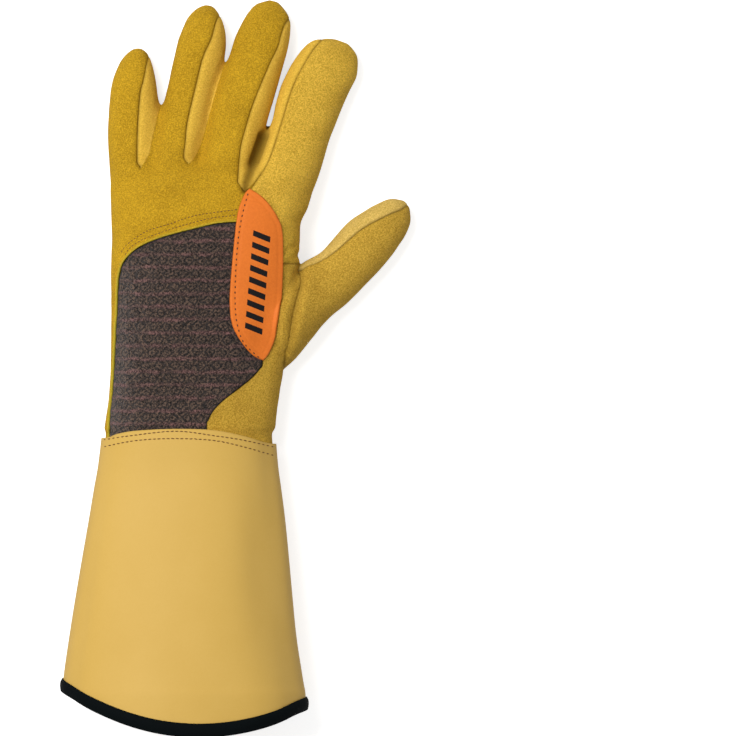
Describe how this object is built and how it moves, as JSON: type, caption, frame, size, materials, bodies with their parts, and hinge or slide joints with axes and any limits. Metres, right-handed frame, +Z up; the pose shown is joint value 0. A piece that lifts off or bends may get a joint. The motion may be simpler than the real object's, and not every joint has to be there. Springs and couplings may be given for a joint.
{
  "type": "rose pruning gauntlet",
  "caption": "Left-hand gardening gauntlet: suede hand with a knit back and an orange patch, and a long flared leather cuff with a bound hem.",
  "frame": {"origin": "on the surface that the glove lies on, under the middle of its bounding box", "axes": "+Z up from the surface to the back of the hand, +Y from the cuff to the fingertips, +X to the thumb's side"},
  "size_m": [0.1908, 0.4006, 0.0772],
  "materials": {
    "ochre_suede": "napped ochre suede",
    "tan_suede": "napped tan suede",
    "fourchette_suede": "pale napped suede",
    "palm_suede": "greenish yellow napped suede",
    "knit": "dark jacquard knit",
    "orange_patch": "matt orange coating",
    "cuff_leather": "smooth grain leather",
    "black_binding": "black bias binding",
    "orange_tag": "woven tape",
    "thread": "brown sewing thread"
  },
  "bodies": {
    "root": {"hand_back": "ochre_suede", "index_back": "tan_suede", "wrist_wrap": "tan_suede", "thumb_back": "tan_suede", "thumb_front": "palm_suede", "palm": "palm_suede", "ring_front": "palm_suede", "middle_front": "palm_suede", "fourchette_little_ring": "fourchette_suede", "fourchette_ring_middle": "fourchette_suede", "fourchette_middle_index": "fourchette_suede", "knit_panel": "knit", "knuckle_patch": "orange_patch", "cuff_back": "cuff_leather", "cuff_front": "cuff_leather", "hem_binding": "black_binding", "side_tag": "orange_tag"}
  },
  "joints": []
}
